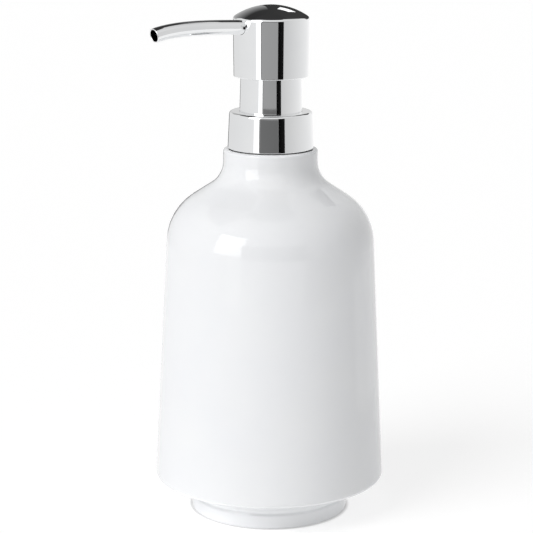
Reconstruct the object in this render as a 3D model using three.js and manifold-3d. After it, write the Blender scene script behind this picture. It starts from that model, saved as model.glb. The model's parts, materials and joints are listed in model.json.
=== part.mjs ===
// A soap pump dispenser: a tapered bottle on a round foot, closed by a screw-on lotion pump
// with a domed press head and a thin arched spout.
// Millimetres, +Z up. The origin is the centre of the underside, and the spout points along -Y.
import * as THREE from "three";
import { mergeVertices } from "three/addons/utils/BufferGeometryUtils.js";
import Module from "manifold-3d";

const wasm = await Module();
wasm.setup();

// ---- driving dimensions ----

const GAP = 0.3; // between pieces that touch or press together
const UP = new THREE.Vector3(0, 0, 1);

// foot and bottle
const PAD_RADIUS = 25.5;
const PAD_HEIGHT = 0.9;
const FOOT_RADIUS = 28.45;
const FOOT_BOTTOM = 0.1; // the pad stands this much proud of the foot
const FOOT_EDGE = 0.4;
const FOOT_WALL = 2.6;
const FOOT_FLOOR = 2.7;
const BODY_BOTTOM = 12; // flat underside of the bottle, over the foot
const BODY_RADIUS = 41.69; // at the underside, before the edge is rounded
const BODY_EDGE = 1.8;
const BODY_WALL = 3;
const SHOULDER_RADIUS = 36.78; // where the wall and the cone would meet
const SHOULDER_Z = 110.1;
const SHOULDER_ROUNDING = 20;
const NECK_CORNER_RADIUS = 16.85; // where the cone and the neck would meet
const NECK_CORNER_Z = 123.15;
const NECK_ROUNDING = 10.2;
const NECK_RADIUS = 16.85;
const RIM_Z = 133.1;
const RIM_ROUNDING = 1; // outside
const RIM_INNER_ROUNDING = 0.25;
const RECESS_RADIUS = 14.9; // inside the rim, which the collar comes down onto
const RECESS_Z = 129.6;
const NECK_BORE = 12.4;
const NECK_BORE_ROUNDING = 2;
const FLOOR_ROUNDING = 4;
const FOOT_OPENING = 26.5; // opening in the bottle's floor, filled by the foot's spigot
const SEAL_RADIUS = 28;
const SEAL_HEIGHT = 0.5;

// thread of the neck finish
const FINISH_TOP = 140.5;
const FINISH_BORE = 8.9;
const FINISH_ROOT = 10.9;
const FINISH_FLANGE = 1;
const FINISH_SPIGOT = 7; // length below the recess
const THREAD_HEIGHT = 1;
const CAP_THREAD_HEIGHT = 0.85;
const THREAD_BITE = 0.4; // depth that a ridge's root is sunk into its wall
const THREAD_PITCH = 3.175;
const THREAD_TURNS = 1.5;
const THREAD_START = 133.4;
const THREAD_CLEARANCE = 0.15; // between the crests of the two threads
const THREAD_ROOT_HALF = 1;
const THREAD_CREST_HALF = 0.45;

// closure
const COLLAR_TOP = 146.5;
const COLLAR_BOTTOM = RIM_Z + GAP;
const COLLAR_TOP_RADIUS = 14.73;
const COLLAR_BOTTOM_RADIUS = 15.3;
const COLLAR_WALL = 0.6;
const COLLAR_EDGE = 1;
const SLEEVE_TOP = 161.2;
const SLEEVE_TOP_RADIUS = 10.7;
const SLEEVE_RADIUS = 11.1;
const SLEEVE_WALL = 0.6;
const PLATE = 0.7; // thickness of the flat tops under the collar
const CAP_HOLE = 7.9;
const CAP_TOP = 1.2;

// pump
const GASKET_HEIGHT = 0.8;
const GASKET_BORE = 8;
const FLANGE_RADIUS = 11.6;
const FLANGE_HEIGHT = 1.1;
const BARREL_RADIUS = 7.2;
const BARREL_BORE = 6.2;
const BARREL_FLOOR = 104;
const BALL_RADIUS = 2.5;
const BALL_CHAMBER = 3.6;
const BALL_PORT = 1.8;
const BALL_CLEARANCE = 0.1;
const SEAT_TOP = 100.5; // the valve seat is a 45 degree cone below this height
const TUBE_RADIUS = 2.75;
const TUBE_BORE = 2;
const TUBE_TOP = 97;
const TUBE_BOTTOM = 5.2;
const TUBE_CUT = 40; // degrees, slant of the tube's lower end
const TAIL_BOTTOM = 90;
const TAIL_WALL = 1;
const STEM_RADIUS = 3.3;
const STEM_BORE = 1.9;
const STEM_TOP = 171;
const STEM_BOTTOM = 135.6;
const PISTON_BOTTOM = 129.2;
const PISTON_TOP = 134;
const PISTON_BORE = 2.7;
const PISTON_CLEARANCE = 0.15; // between the lips and the barrel
const ROD_RADIUS = 2.4;
const ROD_BORE = 1;
const CHAPLET_BOTTOM = 134.3;
const CHAPLET_FLANGE = 1;
const SPRING_BOTTOM = 106.6;
const SPRING_TOP = 127.3;
const SPRING_RADIUS = 4.6;
const SPRING_WIRE = 0.45;
const SPRING_TURNS = 6;

// head and spout
const HEAD_TOP = 184;
const HEAD_BOTTOM = 158.9;
const HEAD_RADIUS = 13.46; // at the dome's edge
const HEAD_BOTTOM_RADIUS = 13.2;
const DOME_RADIUS = 23.5;
const HEAD_EDGE = 1.1;
const HEAD_WALL = 0.9;
const CORE_BOTTOM = 172.6;
const HUB_BOTTOM = 163;
const HUB_RADIUS = 6.4;
const SPOUT_RADIUS = 2.55;
const SPOUT_BORE = 2.1;
const SPOUT_ROOT = new THREE.Vector3(0, -4.6, 176.3);
const SPOUT_RISE = 3.2; // degrees, where the spout leaves the head
const SPOUT_TIP = new THREE.Vector3(0, -49.6, 176.1);
const SPOUT_DROOP = 13.7; // degrees, at the tip
const SPOUT_LEAD = [16, 11.8]; // lengths that the root's and the tip's direction hold

// facets around a turned piece
const FINE = 48;
const MEDIUM = 32;
const SMALL = 24;
const LARGE_ARC = 5; // a rounding over this radius is cut into finer steps
const ARC_STEP = THREE.MathUtils.degToRad(45);
const LARGE_ARC_STEP = THREE.MathUtils.degToRad(12);

// ---- materials ----

const chrome = () => new THREE.MeshStandardMaterial({ color: 0xc9ccd0, roughness: 0.08, metalness: 1 });
const steel = () => new THREE.MeshStandardMaterial({ color: 0xa9adb1, roughness: 0.25, metalness: 1 });
const whiteGloss = () => new THREE.MeshStandardMaterial({ color: 0xf3f4f6, roughness: 0.12, metalness: 0 });
const plastic = (color) => new THREE.MeshStandardMaterial({ color, roughness: 0.45, metalness: 0 });
const NATURAL = 0xe6e8e6;
const WHITE = 0xf2f2f0;
const DARK = 0x33363a;

// ---- solids ----

// A closed geometry with shared vertices, its faces turned outward, as a solid for joining and cutting.
function toSolid(geometry) {
  const bare = geometry.clone();
  bare.deleteAttribute("normal");
  bare.deleteAttribute("uv");
  const merged = mergeVertices(bare, 1e-4);
  const position = merged.attributes.position;
  const [a, b, c] = [new THREE.Vector3(), new THREE.Vector3(), new THREE.Vector3()];
  const triangles = [];
  let volume = 0;
  for (let i = 0; i < merged.index.count; i += 3) {
    const corners = [0, 1, 2].map((k) => merged.index.getX(i + k));
    if (new Set(corners).size < 3) continue;
    triangles.push(corners);
    a.fromBufferAttribute(position, corners[0]);
    b.fromBufferAttribute(position, corners[1]);
    c.fromBufferAttribute(position, corners[2]);
    volume += a.dot(b.cross(c)) / 6;
  }
  const facing = volume < 0 ? triangles.map(([p, q, r]) => [p, r, q]) : triangles;
  const mesh = new wasm.Mesh({
    numProp: 3,
    vertProperties: new Float32Array(position.array),
    triVerts: new Uint32Array(facing.flat()),
  });
  return new wasm.Manifold(mesh);
}

function fromSolid(solid) {
  const mesh = solid.getMesh();
  const geometry = new THREE.BufferGeometry();
  geometry.setAttribute("position", new THREE.BufferAttribute(new Float32Array(mesh.vertProperties), 3));
  geometry.setIndex(new THREE.BufferAttribute(new Uint32Array(mesh.triVerts), 1));
  geometry.computeVertexNormals();
  return geometry;
}

// The points of an outline whose corners are [radius, height] or [radius, height, rounding].
function rounded(corners) {
  const at = (index) => {
    const [r, z] = corners[(index + corners.length) % corners.length];
    return new THREE.Vector2(r, z);
  };
  return corners.flatMap(([, , rounding = 0], index) => {
    const corner = at(index);
    if (rounding === 0) return [corner];
    const back = at(index - 1).sub(corner).normalize();
    const ahead = at(index + 1).sub(corner).normalize();
    const half = Math.acos(back.dot(ahead)) / 2;
    const inward = back.clone().add(ahead).normalize();
    const centre = corner.clone().addScaledVector(inward, rounding / Math.sin(half));
    const from = corner.clone().addScaledVector(back, rounding / Math.tan(half)).sub(centre).angle();
    const to = corner.clone().addScaledVector(ahead, rounding / Math.tan(half)).sub(centre).angle();
    const sweep = THREE.MathUtils.euclideanModulo(to - from + Math.PI, 2 * Math.PI) - Math.PI;
    const arcStep = rounding > LARGE_ARC ? LARGE_ARC_STEP : ARC_STEP;
    const steps = Math.max(2, Math.ceil(Math.abs(sweep) / arcStep));
    return Array.from({ length: steps + 1 }, (_, step) => {
      const angle = from + (sweep * step) / steps;
      return new THREE.Vector2(Math.cos(angle), Math.sin(angle)).multiplyScalar(rounding).add(centre);
    });
  });
}

// A piece turned about the Z axis. The outline starts and ends on the axis, or closes on itself.
function turned(corners, facets) {
  const points = rounded(corners);
  if (points[0].x > 0) points.push(points[0].clone());
  return toSolid(new THREE.LatheGeometry(points, facets).rotateX(Math.PI / 2));
}

// A round rod from a point along a direction.
function rod(start, direction, radius, length, facets = SMALL) {
  const geometry = new THREE.CylinderGeometry(radius, radius, length, facets).translate(0, length / 2, 0);
  const turn = new THREE.Quaternion().setFromUnitVectors(new THREE.Vector3(0, 1, 0), direction);
  return toSolid(geometry.applyQuaternion(turn).translate(start.x, start.y, start.z));
}

// A helical thread ridge between two radii. Its depth fades in and out over a sixth of a turn.
function ridge(rootRadius, crestRadius, startZ) {
  const perTurn = 30;
  const count = Math.round(perTurn * THREAD_TURNS);
  const fade = perTurn / 6;
  const positions = [];
  const index = [];
  for (let i = 0; i <= count; i += 1) {
    const angle = (2 * Math.PI * i) / perTurn;
    const depth = Math.min(1, (i + 0.1) / fade, (count - i + 0.1) / fade);
    const crest = THREE.MathUtils.lerp(rootRadius, crestRadius, depth);
    const z = startZ + (THREAD_PITCH * i) / perTurn;
    for (const [radius, offset] of [
      [rootRadius, -THREAD_ROOT_HALF],
      [crest, -THREAD_CREST_HALF],
      [crest, THREAD_CREST_HALF],
      [rootRadius, THREAD_ROOT_HALF],
    ]) {
      positions.push(radius * Math.cos(angle), radius * Math.sin(angle), z + offset);
    }
    if (i === 0) continue;
    for (let side = 0; side < 4; side += 1) {
      const [a, b] = [4 * (i - 1) + side, 4 * (i - 1) + ((side + 1) % 4)];
      index.push(a, b, b + 4, a, b + 4, a + 4);
    }
  }
  const last = 4 * count;
  index.push(0, 2, 1, 0, 3, 2, last, last + 1, last + 2, last, last + 2, last + 3);
  const geometry = new THREE.BufferGeometry();
  geometry.setAttribute("position", new THREE.Float32BufferAttribute(positions, 3));
  geometry.setIndex(index);
  return toSolid(geometry);
}

// Points of a dome's outline from the axis to just short of its edge.
function dome(apex, sphere, edgeRadius, steps) {
  return Array.from({ length: steps }, (_, step) => {
    const radius = (edgeRadius * step) / steps;
    return [radius, apex - sphere + Math.sqrt(sphere ** 2 - radius ** 2)];
  });
}

const domeDrop = (sphere, radius) => sphere - Math.sqrt(sphere ** 2 - radius ** 2);

// ---- foot and bottle ----

function basePad() {
  return turned([[0, 0], [PAD_RADIUS, 0], [PAD_RADIUS, PAD_HEIGHT], [0, PAD_HEIGHT]], FINE);
}

// A cup whose spigot fills the opening in the bottle's floor.
function basePlug() {
  const recess = PAD_HEIGHT + GAP;
  const floor = recess + FOOT_FLOOR;
  const shoulder = BODY_BOTTOM - SEAL_HEIGHT - 2 * GAP;
  const spigot = FOOT_OPENING - GAP;
  const spigotTop = BODY_BOTTOM + BODY_WALL - GAP;
  return turned([
    [0, recess],
    [PAD_RADIUS + GAP, recess],
    [PAD_RADIUS + GAP, FOOT_BOTTOM],
    [FOOT_RADIUS, FOOT_BOTTOM, FOOT_EDGE],
    [FOOT_RADIUS, shoulder],
    [spigot, shoulder],
    [spigot, spigotTop],
    [spigot - FOOT_WALL, spigotTop],
    [spigot - FOOT_WALL, floor, 1.5],
    [0, floor],
  ], FINE);
}

// A flat ring squeezed between the foot's shoulder and the bottle's underside.
function baseSeal() {
  const top = BODY_BOTTOM - GAP;
  const bottom = top - SEAL_HEIGHT;
  return turned([[FOOT_OPENING, bottom], [SEAL_RADIUS, bottom], [SEAL_RADIUS, top], [FOOT_OPENING, top]], FINE);
}

// One wall thickness all over: the inner outline is the outer one moved in square to each stretch.
function bottleShell() {
  const taper = Math.atan2(BODY_RADIUS - SHOULDER_RADIUS, SHOULDER_Z - BODY_BOTTOM);
  const cone = Math.atan2(NECK_CORNER_Z - SHOULDER_Z, SHOULDER_RADIUS - NECK_CORNER_RADIUS);
  const coneDrop = BODY_WALL / Math.cos(cone);
  const wallShift = BODY_WALL / Math.cos(taper);
  const floor = BODY_BOTTOM + BODY_WALL;
  const floorRadius = BODY_RADIUS - wallShift - BODY_WALL * Math.tan(taper);
  // inner corner of wall and cone, by solving the two moved lines
  const rise = (SHOULDER_RADIUS - wallShift) * Math.tan(cone);
  const coneAtAxis = SHOULDER_Z - coneDrop + SHOULDER_RADIUS * Math.tan(cone);
  const cornerZ = (coneAtAxis - rise - SHOULDER_Z * Math.tan(taper) * Math.tan(cone))
    / (1 - Math.tan(taper) * Math.tan(cone));
  const cornerRadius = SHOULDER_RADIUS - wallShift + (SHOULDER_Z - cornerZ) * Math.tan(taper);
  const boreZ = coneAtAxis - NECK_BORE * Math.tan(cone);
  return turned([
    [FOOT_OPENING, BODY_BOTTOM],
    [BODY_RADIUS, BODY_BOTTOM, BODY_EDGE],
    [SHOULDER_RADIUS, SHOULDER_Z, SHOULDER_ROUNDING],
    [NECK_CORNER_RADIUS, NECK_CORNER_Z, NECK_ROUNDING],
    [NECK_RADIUS, RIM_Z, RIM_ROUNDING],
    [RECESS_RADIUS, RIM_Z, RIM_INNER_ROUNDING],
    [RECESS_RADIUS, RECESS_Z],
    [NECK_BORE, RECESS_Z],
    [NECK_BORE, boreZ, NECK_BORE_ROUNDING],
    [cornerRadius, cornerZ, SHOULDER_ROUNDING - BODY_WALL],
    [floorRadius, floor, FLOOR_ROUNDING],
    [FOOT_OPENING, floor],
  ], FINE);
}

// Threaded finish with a flange that rests on the shelf inside the rim.
function neckInsert() {
  const flangeRadius = RECESS_RADIUS - GAP;
  const flangeBottom = RECESS_Z + GAP;
  const flangeTop = flangeBottom + FINISH_FLANGE;
  const spigot = NECK_BORE - GAP;
  const spigotBottom = RECESS_Z - FINISH_SPIGOT;
  const body = turned([
    [FINISH_BORE, spigotBottom],
    [spigot, spigotBottom, 0.5],
    [spigot, flangeBottom],
    [flangeRadius, flangeBottom],
    [flangeRadius, flangeTop],
    [FINISH_ROOT, flangeTop],
    [FINISH_ROOT, FINISH_TOP, 0.4],
    [FINISH_BORE, FINISH_TOP, 0.4],
  ], MEDIUM);
  return body.add(ridge(FINISH_ROOT - THREAD_BITE, FINISH_ROOT + THREAD_HEIGHT, THREAD_START));
}

// ---- closure ----

const flangeTopZ = () => FINISH_TOP + GAP + GASKET_HEIGHT + GAP + FLANGE_HEIGHT;
const capTopZ = () => flangeTopZ() + GAP + CAP_TOP;

function neckGasket() {
  const bottom = FINISH_TOP + GAP;
  const top = bottom + GASKET_HEIGHT;
  return turned([
    [GASKET_BORE, bottom],
    [FLANGE_RADIUS, bottom],
    [FLANGE_RADIUS, top],
    [GASKET_BORE, top],
  ], MEDIUM);
}

// How far the collar's outside has narrowed at a height.
function collarRadius(z) {
  const share = (z - COLLAR_BOTTOM) / (COLLAR_TOP - COLLAR_BOTTOM);
  return THREE.MathUtils.lerp(COLLAR_BOTTOM_RADIUS, COLLAR_TOP_RADIUS, share);
}

function screwCap() {
  const crest = FINISH_ROOT + THREAD_HEIGHT + THREAD_CLEARANCE;
  const root = crest + CAP_THREAD_HEIGHT;
  const inset = COLLAR_WALL + GAP;
  const bottom = COLLAR_BOTTOM + GAP;
  const top = capTopZ();
  const ledge = top - CAP_TOP;
  const body = turned([
    [CAP_HOLE, top],
    [collarRadius(top) - inset, top, 0.5],
    [collarRadius(bottom) - inset, bottom],
    [root, bottom],
    [root, ledge],
    [CAP_HOLE, ledge],
  ], MEDIUM);
  return body.add(ridge(root + THREAD_BITE, crest, THREAD_START + THREAD_PITCH / 2));
}

function collarShell() {
  const hole = SLEEVE_RADIUS + GAP;
  const inside = COLLAR_TOP - PLATE;
  return turned([
    [hole, COLLAR_TOP],
    [COLLAR_TOP_RADIUS, COLLAR_TOP, COLLAR_EDGE],
    [COLLAR_BOTTOM_RADIUS, COLLAR_BOTTOM],
    [COLLAR_BOTTOM_RADIUS - COLLAR_WALL, COLLAR_BOTTOM],
    [collarRadius(inside) - COLLAR_WALL, inside, COLLAR_EDGE - COLLAR_WALL],
    [hole, inside],
  ], FINE);
}

// A chimney that the head's skirt slides around, held by its flange under the collar's top.
function guideSleeve() {
  const flangeTop = COLLAR_TOP - PLATE - GAP;
  const flangeBottom = flangeTop - PLATE;
  const flangeRadius = COLLAR_TOP_RADIUS - COLLAR_WALL - GAP;
  return turned([
    [SLEEVE_TOP_RADIUS, SLEEVE_TOP, 0.25],
    [SLEEVE_RADIUS, COLLAR_TOP],
    [SLEEVE_RADIUS, flangeTop],
    [flangeRadius, flangeTop],
    [flangeRadius, flangeBottom],
    [SLEEVE_RADIUS - SLEEVE_WALL, flangeBottom],
    [SLEEVE_RADIUS - SLEEVE_WALL, COLLAR_TOP],
    [SLEEVE_TOP_RADIUS - SLEEVE_WALL, SLEEVE_TOP, 0.25],
  ], MEDIUM);
}

// ---- pump ----

// Barrel with a flange at the top, and the inlet seat and the dip tube's socket at the bottom.
function pumpHousing() {
  const top = flangeTopZ();
  const underFlange = top - FLANGE_HEIGHT;
  const seatBottom = SEAT_TOP - (BALL_CHAMBER - BALL_PORT);
  const socket = TUBE_RADIUS + GAP;
  const socketTop = TUBE_TOP + GAP;
  const wall = BARREL_RADIUS - BARREL_BORE;
  const body = turned([
    [BARREL_BORE, top],
    [FLANGE_RADIUS, top],
    [FLANGE_RADIUS, underFlange],
    [BARREL_RADIUS, underFlange],
    [BARREL_RADIUS, BARREL_FLOOR - wall, wall],
    [BALL_CHAMBER + wall, SEAT_TOP],
    [socket + TAIL_WALL, socketTop],
    [socket + TAIL_WALL, TAIL_BOTTOM],
    [socket, TAIL_BOTTOM],
    [socket, socketTop],
    [BALL_PORT, socketTop],
    [BALL_PORT, seatBottom],
    [BALL_CHAMBER, SEAT_TOP],
    [BALL_CHAMBER, BARREL_FLOOR],
    [BARREL_BORE, BARREL_FLOOR],
  ], MEDIUM);
  const ventRadius = 0.6;
  const ventDrop = 3;
  const vent = new THREE.Vector3(BARREL_BORE - wall, 0, underFlange - ventDrop);
  return body.subtract(rod(vent, new THREE.Vector3(1, 0, 0), ventRadius, BARREL_RADIUS, 12));
}

// Guide ring in the barrel's mouth. The cap's top is trapped between its flange and the housing's.
function chaplet() {
  const bore = STEM_RADIUS + GAP;
  const inBarrel = BARREL_BORE - GAP;
  const step = flangeTopZ() + GAP;
  const flangeBottom = capTopZ() + GAP;
  const flangeTop = flangeBottom + CHAPLET_FLANGE;
  const flangeRadius = SLEEVE_RADIUS - SLEEVE_WALL - 2 * GAP;
  return turned([
    [bore, CHAPLET_BOTTOM],
    [inBarrel, CHAPLET_BOTTOM],
    [inBarrel, step],
    [CAP_HOLE - GAP, step],
    [CAP_HOLE - GAP, flangeBottom],
    [flangeRadius, flangeBottom],
    [flangeRadius, flangeTop, 0.3],
    [bore, flangeTop, 0.3],
  ], SMALL);
}

function dipTube() {
  const tube = turned([
    [TUBE_BORE, TUBE_BOTTOM],
    [TUBE_RADIUS, TUBE_BOTTOM],
    [TUBE_RADIUS, TUBE_TOP],
    [TUBE_BORE, TUBE_TOP],
  ], SMALL);
  // a block whose top face slants up from the tube's lowest point
  const side = 20;
  const block = new THREE.BoxGeometry(side, side, side).translate(side / 2, 0, -side / 2);
  block.rotateY(-THREE.MathUtils.degToRad(TUBE_CUT)).translate(-TUBE_RADIUS, 0, TUBE_BOTTOM);
  return tube.subtract(toSolid(block));
}

// Slotted disc that holds the ball down to its lift and carries the spring on its boss.
function ballCage() {
  const radius = BARREL_BORE - GAP;
  const bottom = BARREL_FLOOR + GAP;
  const top = SPRING_BOTTOM - GAP;
  const roof = bottom + 0.9; // over the ball
  const roofRadius = BALL_CHAMBER - 0.2;
  const boss = SPRING_RADIUS - SPRING_WIRE - 1;
  const bossTop = top + 2;
  let cage = turned([
    [0, roof],
    [roofRadius, roof],
    [roofRadius, bottom],
    [radius, bottom],
    [radius, top],
    [boss, top],
    [boss, bossTop, 0.5],
    [0, bossTop],
  ], SMALL);
  const ports = 4;
  const portRadius = 0.75;
  const portCircle = 2.2;
  for (let i = 0; i < ports; i += 1) {
    const angle = (2 * Math.PI * (i + 0.5)) / ports;
    const start = new THREE.Vector3(portCircle * Math.cos(angle), portCircle * Math.sin(angle), bottom);
    cage = cage.subtract(rod(start, UP, portRadius, 2 * (bossTop - bottom), 12));
  }
  return cage;
}

function inletBall() {
  const apex = SEAT_TOP - BALL_CHAMBER; // where the seat's cone would meet the axis
  const centre = apex + (BALL_RADIUS + BALL_CLEARANCE) * Math.SQRT2;
  return toSolid(new THREE.SphereGeometry(BALL_RADIUS, 16, 12).rotateX(Math.PI / 2).translate(0, 0, centre));
}

class Helix extends THREE.Curve {
  getPoint(t, target = new THREE.Vector3()) {
    const angle = 2 * Math.PI * SPRING_TURNS * t;
    // the first and the last turn lie almost flat, as closed ends
    const flat = 1 / SPRING_TURNS;
    const open = THREE.MathUtils.clamp((t - flat) / (1 - 2 * flat), 0, 1);
    const end = 2.2 * SPRING_WIRE; // rise of each closed turn
    const ends = end * Math.min(1, t / flat) + end * Math.max(0, (t - 1) / flat + 1);
    const length = SPRING_TOP - SPRING_BOTTOM - 2 * SPRING_WIRE;
    const z = SPRING_BOTTOM + SPRING_WIRE + ends + open * (length - 2 * end);
    return target.set(SPRING_RADIUS * Math.cos(angle), SPRING_RADIUS * Math.sin(angle), z);
  }
}

function returnSpring() {
  const wire = new THREE.Shape();
  wire.absarc(0, 0, SPRING_WIRE, 0, 2 * Math.PI, false);
  return toSolid(new THREE.ExtrudeGeometry(wire, {
    steps: 14 * SPRING_TURNS,
    curveSegments: 3,
    bevelEnabled: false,
    extrudePath: new Helix(),
  }));
}

// Sliding seal between the plunger and the barrel, with a lip at each end.
function piston() {
  const lip = BARREL_BORE - PISTON_CLEARANCE;
  const lipTip = lip - 0.15;
  const lipHeight = 0.3;
  const waist = lip - 0.7;
  const lipRoot = 1.7; // from an end to the waist
  const lowerHollow = 0.6;
  const upperHollow = 1.2;
  const innerLip = PISTON_BORE + 0.9;
  return turned([
    [PISTON_BORE, PISTON_BOTTOM + lowerHollow],
    [waist - 0.4, PISTON_BOTTOM + lowerHollow],
    [lipTip, PISTON_BOTTOM],
    [lip, PISTON_BOTTOM + lipHeight],
    [waist, PISTON_BOTTOM + lipRoot],
    [waist, PISTON_TOP - lipRoot],
    [lip, PISTON_TOP - lipHeight],
    [lipTip, PISTON_TOP],
    [waist - 0.6, PISTON_TOP - upperHollow],
    [innerLip + 0.4, PISTON_TOP - upperHollow],
    [innerLip, PISTON_TOP],
    [PISTON_BORE, PISTON_TOP],
  ], MEDIUM);
}

// Hollow rod pressed into the stem: its side holes open when the piston slides up on it.
function plunger() {
  const flangeTop = PISTON_BOTTOM - GAP;
  const flangeBottom = SPRING_TOP + GAP;
  const flangeRadius = SPRING_RADIUS + SPRING_WIRE;
  const pilotRadius = 3; // inside the spring's top turn
  const pilotBottom = SPRING_TOP - 3;
  const shoulder = STEM_BOTTOM - GAP;
  const spigotTop = shoulder + 7;
  const spigot = STEM_BORE - GAP;
  let body = turned([
    [0, pilotBottom],
    [pilotRadius, pilotBottom, 0.5],
    [pilotRadius, flangeBottom],
    [flangeRadius, flangeBottom],
    [flangeRadius, flangeTop],
    [ROD_RADIUS, flangeTop],
    [ROD_RADIUS, shoulder],
    [spigot, shoulder],
    [spigot, spigotTop],
    [ROD_BORE, spigotTop],
    [ROD_BORE, PISTON_BOTTOM],
    [0, PISTON_BOTTOM],
  ], SMALL);
  const holeRadius = 0.55;
  const holeZ = PISTON_BOTTOM + holeRadius + GAP;
  for (const way of [new THREE.Vector3(1, 0, 0), new THREE.Vector3(0, 1, 0)]) {
    const start = way.clone().multiplyScalar(-2 * ROD_RADIUS).setZ(holeZ);
    body = body.subtract(rod(start, way, holeRadius, 4 * ROD_RADIUS, 10));
  }
  return body;
}

// ---- head and spout ----

function stem() {
  return turned([
    [STEM_BORE, STEM_BOTTOM],
    [STEM_RADIUS, STEM_BOTTOM],
    [STEM_RADIUS, STEM_TOP, 0.3],
    [STEM_BORE, STEM_TOP],
  ], SMALL);
}

const spoutWay = () => {
  const rise = THREE.MathUtils.degToRad(SPOUT_RISE);
  return new THREE.Vector3(0, -Math.cos(rise), Math.sin(rise));
};

// Moulded block in the head: a socket for the stem, and the channel from it to the spout.
function headCore() {
  const sphere = DOME_RADIUS - HEAD_WALL - GAP;
  const facetSag = 0.12; // that the shell's flat facets come in by
  const radius = HEAD_RADIUS - HEAD_WALL - GAP - facetSag;
  const apex = HEAD_TOP - HEAD_WALL - GAP;
  const socketTop = STEM_TOP + GAP;
  const body = turned([
    ...dome(apex, sphere, radius, 5),
    [radius, apex - domeDrop(sphere, radius)],
    [radius, CORE_BOTTOM],
    [HUB_RADIUS, CORE_BOTTOM],
    [HUB_RADIUS, HUB_BOTTOM, 0.4],
    [STEM_RADIUS + GAP, HUB_BOTTOM],
    [STEM_RADIUS + GAP, socketTop],
    [STEM_BORE, socketTop],
    [STEM_BORE, SPOUT_ROOT.z],
    [0, SPOUT_ROOT.z],
  ], MEDIUM);
  const channelStart = new THREE.Vector3(0, 0, SPOUT_ROOT.z);
  const socketStart = SPOUT_ROOT.clone().addScaledVector(spoutWay(), -GAP);
  const channel = rod(channelStart, new THREE.Vector3(0, -1, 0), SPOUT_BORE, -SPOUT_ROOT.y, 16);
  const socket = rod(socketStart, spoutWay(), SPOUT_RADIUS + GAP, HEAD_RADIUS);
  return body.subtract(channel).subtract(socket);
}

function headShell() {
  const edgeZ = HEAD_TOP - domeDrop(DOME_RADIUS, HEAD_RADIUS);
  const innerSphere = DOME_RADIUS - HEAD_WALL;
  const innerRadius = HEAD_RADIUS - HEAD_WALL;
  const innerApex = HEAD_TOP - HEAD_WALL;
  const innerDome = dome(innerApex, innerSphere, innerRadius, 4).reverse();
  const body = turned([
    ...dome(HEAD_TOP, DOME_RADIUS, HEAD_RADIUS, 5),
    [HEAD_RADIUS, edgeZ, HEAD_EDGE],
    [HEAD_BOTTOM_RADIUS, HEAD_BOTTOM, 0.2],
    [HEAD_BOTTOM_RADIUS - HEAD_WALL, HEAD_BOTTOM, 0.2],
    [innerRadius, innerApex - domeDrop(innerSphere, innerRadius)],
    ...innerDome,
  ], FINE);
  return body.subtract(rod(SPOUT_ROOT, spoutWay(), SPOUT_RADIUS + GAP, HEAD_RADIUS));
}

// Thin bent tube, gently arched and drooping at the tip.
function spoutTube() {
  const droop = THREE.MathUtils.degToRad(SPOUT_DROOP);
  const tipWay = new THREE.Vector3(0, -Math.cos(droop), -Math.sin(droop));
  const curve = new THREE.CubicBezierCurve3(
    SPOUT_ROOT,
    SPOUT_ROOT.clone().addScaledVector(spoutWay(), SPOUT_LEAD[0]),
    SPOUT_TIP.clone().addScaledVector(tipWay, -SPOUT_LEAD[1]),
    SPOUT_TIP,
  );
  const section = new THREE.Shape();
  section.absarc(0, 0, SPOUT_RADIUS, 0, 2 * Math.PI, false);
  const bore = new THREE.Path();
  bore.absarc(0, 0, SPOUT_BORE, 0, 2 * Math.PI, true);
  section.holes.push(bore);
  return toSolid(new THREE.ExtrudeGeometry(section, {
    steps: 14,
    curveSegments: 8,
    bevelEnabled: false,
    extrudePath: curve,
  }));
}

// ---- assembly ----

const dispenser = new THREE.Group();

function place(name, solid, material) {
  const mesh = new THREE.Mesh(fromSolid(solid), material);
  mesh.name = name;
  dispenser.add(mesh);
}

place("base_pad", basePad(), plastic(DARK));
place("base_plug", basePlug(), whiteGloss());
place("base_seal", baseSeal(), plastic(DARK));
place("bottle_shell", bottleShell(), whiteGloss());
place("neck_insert", neckInsert(), plastic(WHITE));
place("neck_gasket", neckGasket(), plastic(NATURAL));
place("pump_housing", pumpHousing(), plastic(NATURAL));
place("chaplet", chaplet(), plastic(WHITE));
place("dip_tube", dipTube(), plastic(NATURAL));
place("ball_cage", ballCage(), plastic(WHITE));
place("return_spring", returnSpring(), steel());
place("inlet_ball", inletBall(), steel());
place("piston", piston(), plastic(NATURAL));
place("plunger", plunger(), plastic(WHITE));
place("screw_cap", screwCap(), plastic(WHITE));
place("collar_shell", collarShell(), chrome());
place("guide_sleeve", guideSleeve(), chrome());
place("stem", stem(), plastic(WHITE));
place("head_core", headCore(), plastic(WHITE));
place("head_shell", headShell(), chrome());
place("spout_tube", spoutTube(), chrome());

export default dispenser;
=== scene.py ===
import json
import math

import bmesh
import bpy
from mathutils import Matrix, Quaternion, Vector


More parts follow.
